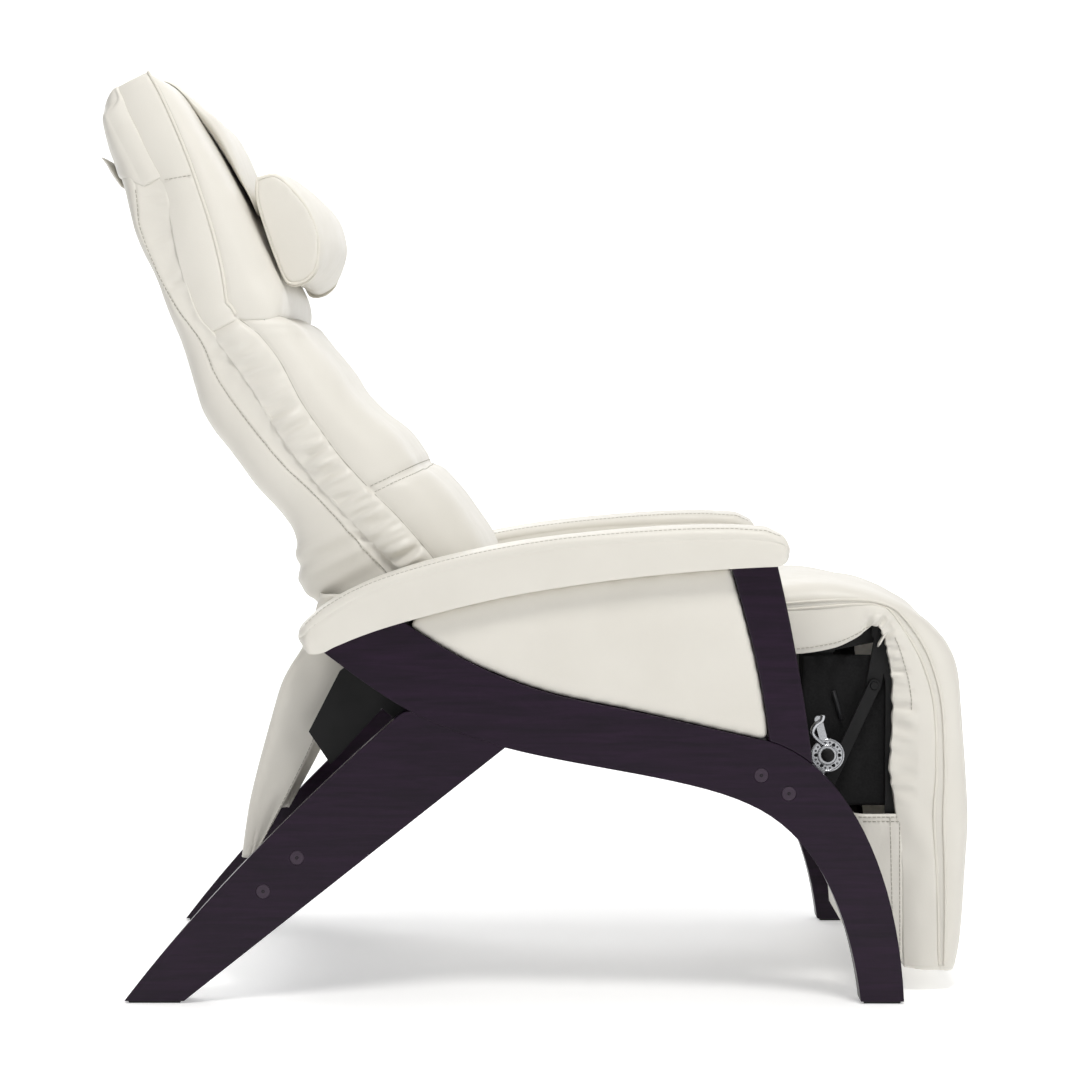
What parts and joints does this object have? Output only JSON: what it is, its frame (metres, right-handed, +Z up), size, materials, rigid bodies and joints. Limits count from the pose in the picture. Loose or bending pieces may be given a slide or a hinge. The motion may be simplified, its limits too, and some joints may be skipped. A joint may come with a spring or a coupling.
{
  "type": "massage chair",
  "caption": "Power recliner massage chair with a bent-wood frame, padded armrests, lifting leg rest and sliding neck pillow.",
  "frame": {"origin": "on the floor, under the middle of the chair's box", "axes": "+X the way the sitter faces, +Y to the sitter's left, +Z up"},
  "size_m": [1.1109, 0.72, 1.1934],
  "materials": {
    "wood": "satin lacquer, very dark",
    "plywood": "raw",
    "leather": "soft off-white leather",
    "steel_black": "satin black",
    "steel_links": "satin dark grey",
    "steel_bright": "zinc plated",
    "gearbox": "matte",
    "plastic_black": "fine texture",
    "button_grey": "soft touch",
    "liner": "black woven",
    "heater": "felt"
  },
  "bodies": {
    "base": {"rear_leg_R": "wood", "rear_leg_L": "wood", "side_beam_R": "wood", "side_beam_L": "wood", "front_post_R": "wood", "front_post_L": "wood", "side_panel_R": "leather", "side_panel_L": "leather", "armrest_pad_R": "leather", "armrest_pad_L": "leather", "arm_boards": "plywood", "rear_cross_rail": "wood", "front_cross_rail": "wood", "frame_bolts": "steel_bright", "bolt_caps": "wood", "foot_glides": "plastic_black", "hip_brackets": "steel_black", "hip_pivots": "steel_bright", "curtain_rod": "steel_black", "rear_curtain": "leather", "recline_gearbox": "gearbox", "control_box": "plastic_black", "power_inlet": "plastic_black", "control_panel": "plastic_black"},
    "recline_crank": {"torque_tube": "steel_black"},
    "recline_link": {"recline_links": "steel_links"},
    "tilt_link": {"tilt_links": "steel_links"},
    "seat": {"seat_frame": "steel_black", "seat_webbing": "liner", "seat_cushion": "leather", "knee_roll": "leather", "liner_panels": "liner", "leg_gearbox": "gearbox", "seat_motor": "gearbox"},
    "seat_weight": {"seat_motor_weight": "steel_bright"},
    "leg_crank": {"leg_drive_shaft": "steel_bright"},
    "leg_link": {"leg_links": "steel_links"},
    "leg_rest": {"leg_rest_frame": "steel_black", "calf_cushion": "leather", "leg_rest_cover": "leather"},
    "back": {"back_frame": "steel_black", "back_webbing": "liner", "heating_pad": "heater", "head_cushion": "leather", "upper_lumbar_cushion": "leather", "lower_lumbar_cushion": "leather", "side_gussets": "leather", "back_cover": "leather", "upper_back_motor": "gearbox", "lower_back_motor": "gearbox", "pillow_strap": "leather"},
    "upper_weight": {"upper_motor_weight": "steel_bright"},
    "lower_weight": {"lower_motor_weight": "steel_bright"},
    "pillow": {"neck_pillow": "leather"},
    "counterweight": {"pillow_weight": "leather"},
    "recline_button": {"recline_button": "button_grey"},
    "upright_button": {"upright_button": "button_grey"},
    "leg_up_button": {"leg_up_button": "button_grey"},
    "leg_down_button": {"leg_down_button": "button_grey"},
    "massage_button": {"massage_button": "button_grey"}
  },
  "joints": [
    {"name": "back_recline", "type": "hinge", "parent": "base", "child": "back", "pos_m": [-0.132, 0, 0.462], "axis": [0, -1, 0], "range_deg": [0, 35]},
    {"name": "seat_tilt", "type": "hinge", "parent": "base", "child": "seat", "pos_m": [-0.132, 0, 0.462], "axis": [0, -1, 0], "range_deg": [0, 9.45]},
    {"name": "crank_turn", "type": "hinge", "parent": "base", "child": "recline_crank", "pos_m": [0, 0, 0.385], "axis": [0, -1, 0], "range_deg": [0, 35]},
    {"name": "recline_link_pivot", "type": "hinge", "parent": "recline_crank", "child": "recline_link", "pos_m": [-0.0171, 0, 0.33802], "axis": [0, -1, 0], "range_deg": [-35, 0]},
    {"name": "tilt_link_pivot", "type": "hinge", "parent": "recline_crank", "child": "tilt_link", "pos_m": [0.05722, 0, 0.36696], "axis": [0, -1, 0], "range_deg": [-35, 0]},
    {"name": "leg_lift", "type": "hinge", "parent": "seat", "child": "leg_rest", "pos_m": [0.45, 0, 0.466], "axis": [0, -1, 0], "range_deg": [0, 75]},
    {"name": "leg_crank_turn", "type": "hinge", "parent": "seat", "child": "leg_crank", "pos_m": [0.377, 0, 0.308], "axis": [0, -1, 0], "range_deg": [0, 75]},
    {"name": "leg_link_pivot", "type": "hinge", "parent": "leg_crank", "child": "leg_link", "pos_m": [0.36484, 0, 0.23906], "axis": [0, -1, 0], "range_deg": [-75, 0]},
    {"name": "seat_massage_spin", "type": "hinge", "parent": "seat", "child": "seat_weight", "pos_m": [0.214, 0, 0.415], "axis": [0, 1, 0], "continuous": true},
    {"name": "upper_massage_spin", "type": "hinge", "parent": "back", "child": "upper_weight", "pos_m": [-0.43908, 0, 0.93452], "axis": [0, 1, 0], "continuous": true},
    {"name": "lower_massage_spin", "type": "hinge", "parent": "back", "child": "lower_weight", "pos_m": [-0.32266, 0, 0.70204], "axis": [0, 1, 0], "continuous": true},
    {"name": "pillow_height", "type": "slide", "parent": "back", "child": "pillow", "axis": [-0.5678, 0, 0.8231], "range_m": [-0.05, 0]},
    {"name": "counterweight_slide", "type": "slide", "parent": "back", "child": "counterweight", "axis": [-0.4478, 0, 0.8942], "range_m": [0, 0.05]},
    {"name": "recline_button_press", "type": "slide", "parent": "base", "child": "recline_button", "axis": [0, 1, 0], "range_m": [0, 0.0015], "stiffness_N_per_m": 300},
    {"name": "upright_button_press", "type": "slide", "parent": "base", "child": "upright_button", "axis": [0, 1, 0], "range_m": [0, 0.0015], "stiffness_N_per_m": 300},
    {"name": "leg_up_button_press", "type": "slide", "parent": "base", "child": "leg_up_button", "axis": [0, 1, 0], "range_m": [0, 0.0015], "stiffness_N_per_m": 300},
    {"name": "leg_down_button_press", "type": "slide", "parent": "base", "child": "leg_down_button", "axis": [0, 1, 0], "range_m": [0, 0.0015], "stiffness_N_per_m": 300},
    {"name": "massage_button_press", "type": "slide", "parent": "base", "child": "massage_button", "axis": [0, 1, 0], "range_m": [0, 0.0015], "stiffness_N_per_m": 300}
  ],
  "couplings": [
    {"joint": "seat_tilt", "follows": "back_recline", "ratio": 0.27},
    {"joint": "crank_turn", "follows": "back_recline", "ratio": 1},
    {"joint": "recline_link_pivot", "follows": "back_recline", "ratio": -1},
    {"joint": "tilt_link_pivot", "follows": "back_recline", "ratio": -1},
    {"joint": "leg_crank_turn", "follows": "leg_lift", "ratio": 1},
    {"joint": "leg_link_pivot", "follows": "leg_lift", "ratio": -1},
    {"joint": "counterweight_slide", "follows": "pillow_height", "ratio": -1}
  ]
}
